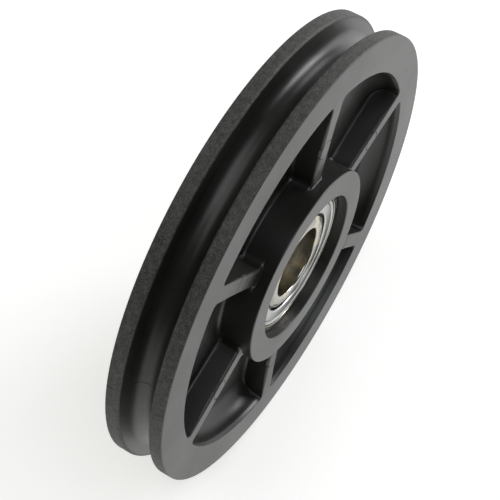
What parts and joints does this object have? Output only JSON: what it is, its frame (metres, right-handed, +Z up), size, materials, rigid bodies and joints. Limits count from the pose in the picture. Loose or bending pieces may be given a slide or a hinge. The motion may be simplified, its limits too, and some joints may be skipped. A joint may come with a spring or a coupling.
{
  "type": "sheave wheel",
  "caption": "Moulded rope sheave wheel with a round groove, ribbed web and hub, turning on a shielded deep-groove ball bearing with its balls and riveted cage.",
  "frame": {"origin": "centre of the wheel, on its axis and midway between its two hub faces", "axes": "+Y along the wheel's axis towards the rear face, so the front face looks along -Y; +Z up with the wheel standing on edge; +X completes a right-handed frame"},
  "size_m": [0.13, 0.0216, 0.13],
  "materials": {
    "wheel_nylon": "satin moulded nylon",
    "ring_steel": "ground bearing steel",
    "ball_steel": "polished",
    "sheet_steel": "pressed sheet, bright"
  },
  "bodies": {
    "inner_ring": {"bearing_inner_ring": "ring_steel"},
    "wheel": {"sheave_wheel": "wheel_nylon", "bearing_outer_ring": "ring_steel", "shield_front": "sheet_steel", "shield_rear": "sheet_steel"},
    "cage": {"cage_front": "sheet_steel", "cage_rear": "sheet_steel", "cage_rivet_1": "sheet_steel", "cage_rivet_2": "sheet_steel", "cage_rivet_3": "sheet_steel", "cage_rivet_4": "sheet_steel", "cage_rivet_5": "sheet_steel", "cage_rivet_6": "sheet_steel", "cage_rivet_7": "sheet_steel", "cage_rivet_8": "sheet_steel", "cage_rivet_9": "sheet_steel"},
    "rolling_ball_1": {"ball_1": "ball_steel"},
    "rolling_ball_2": {"ball_2": "ball_steel"},
    "rolling_ball_3": {"ball_3": "ball_steel"},
    "rolling_ball_4": {"ball_4": "ball_steel"},
    "rolling_ball_5": {"ball_5": "ball_steel"},
    "rolling_ball_6": {"ball_6": "ball_steel"},
    "rolling_ball_7": {"ball_7": "ball_steel"},
    "rolling_ball_8": {"ball_8": "ball_steel"},
    "rolling_ball_9": {"ball_9": "ball_steel"}
  },
  "joints": [
    {"name": "wheel_spin", "type": "hinge", "parent": "inner_ring", "child": "wheel", "pos_m": [0, 0, 0], "axis": [0, 1, 0], "continuous": true},
    {"name": "cage_orbit", "type": "hinge", "parent": "inner_ring", "child": "cage", "pos_m": [0, 0, 0], "axis": [0, 1, 0], "continuous": true},
    {"name": "ball_1_spin", "type": "hinge", "parent": "cage", "child": "rolling_ball_1", "pos_m": [0, 0, 0.0155], "axis": [0, 1, 0], "continuous": true},
    {"name": "ball_2_spin", "type": "hinge", "parent": "cage", "child": "rolling_ball_2", "pos_m": [0.00996, 0, 0.01187], "axis": [0, 1, 0], "continuous": true},
    {"name": "ball_3_spin", "type": "hinge", "parent": "cage", "child": "rolling_ball_3", "pos_m": [0.01527, 0, 0.00269], "axis": [0, 1, 0], "continuous": true},
    {"name": "ball_4_spin", "type": "hinge", "parent": "cage", "child": "rolling_ball_4", "pos_m": [0.01342, 0, -0.00775], "axis": [0, 1, 0], "continuous": true},
    {"name": "ball_5_spin", "type": "hinge", "parent": "cage", "child": "rolling_ball_5", "pos_m": [0.0053, 0, -0.01456], "axis": [0, 1, 0], "continuous": true},
    {"name": "ball_6_spin", "type": "hinge", "parent": "cage", "child": "rolling_ball_6", "pos_m": [-0.0053, 0, -0.01456], "axis": [0, 1, 0], "continuous": true},
    {"name": "ball_7_spin", "type": "hinge", "parent": "cage", "child": "rolling_ball_7", "pos_m": [-0.01342, 0, -0.00775], "axis": [0, 1, 0], "continuous": true},
    {"name": "ball_8_spin", "type": "hinge", "parent": "cage", "child": "rolling_ball_8", "pos_m": [-0.01527, 0, 0.00269], "axis": [0, 1, 0], "continuous": true},
    {"name": "ball_9_spin", "type": "hinge", "parent": "cage", "child": "rolling_ball_9", "pos_m": [-0.00996, 0, 0.01187], "axis": [0, 1, 0], "continuous": true}
  ],
  "couplings": [
    {"joint": "cage_orbit", "follows": "wheel_spin", "ratio": 0.60242},
    {"joint": "ball_1_spin", "follows": "wheel_spin", "ratio": 2.3385},
    {"joint": "ball_2_spin", "follows": "wheel_spin", "ratio": 2.3385},
    {"joint": "ball_3_spin", "follows": "wheel_spin", "ratio": 2.3385},
    {"joint": "ball_4_spin", "follows": "wheel_spin", "ratio": 2.3385},
    {"joint": "ball_5_spin", "follows": "wheel_spin", "ratio": 2.3385},
    {"joint": "ball_6_spin", "follows": "wheel_spin", "ratio": 2.3385},
    {"joint": "ball_7_spin", "follows": "wheel_spin", "ratio": 2.3385},
    {"joint": "ball_8_spin", "follows": "wheel_spin", "ratio": 2.3385},
    {"joint": "ball_9_spin", "follows": "wheel_spin", "ratio": 2.3385}
  ]
}
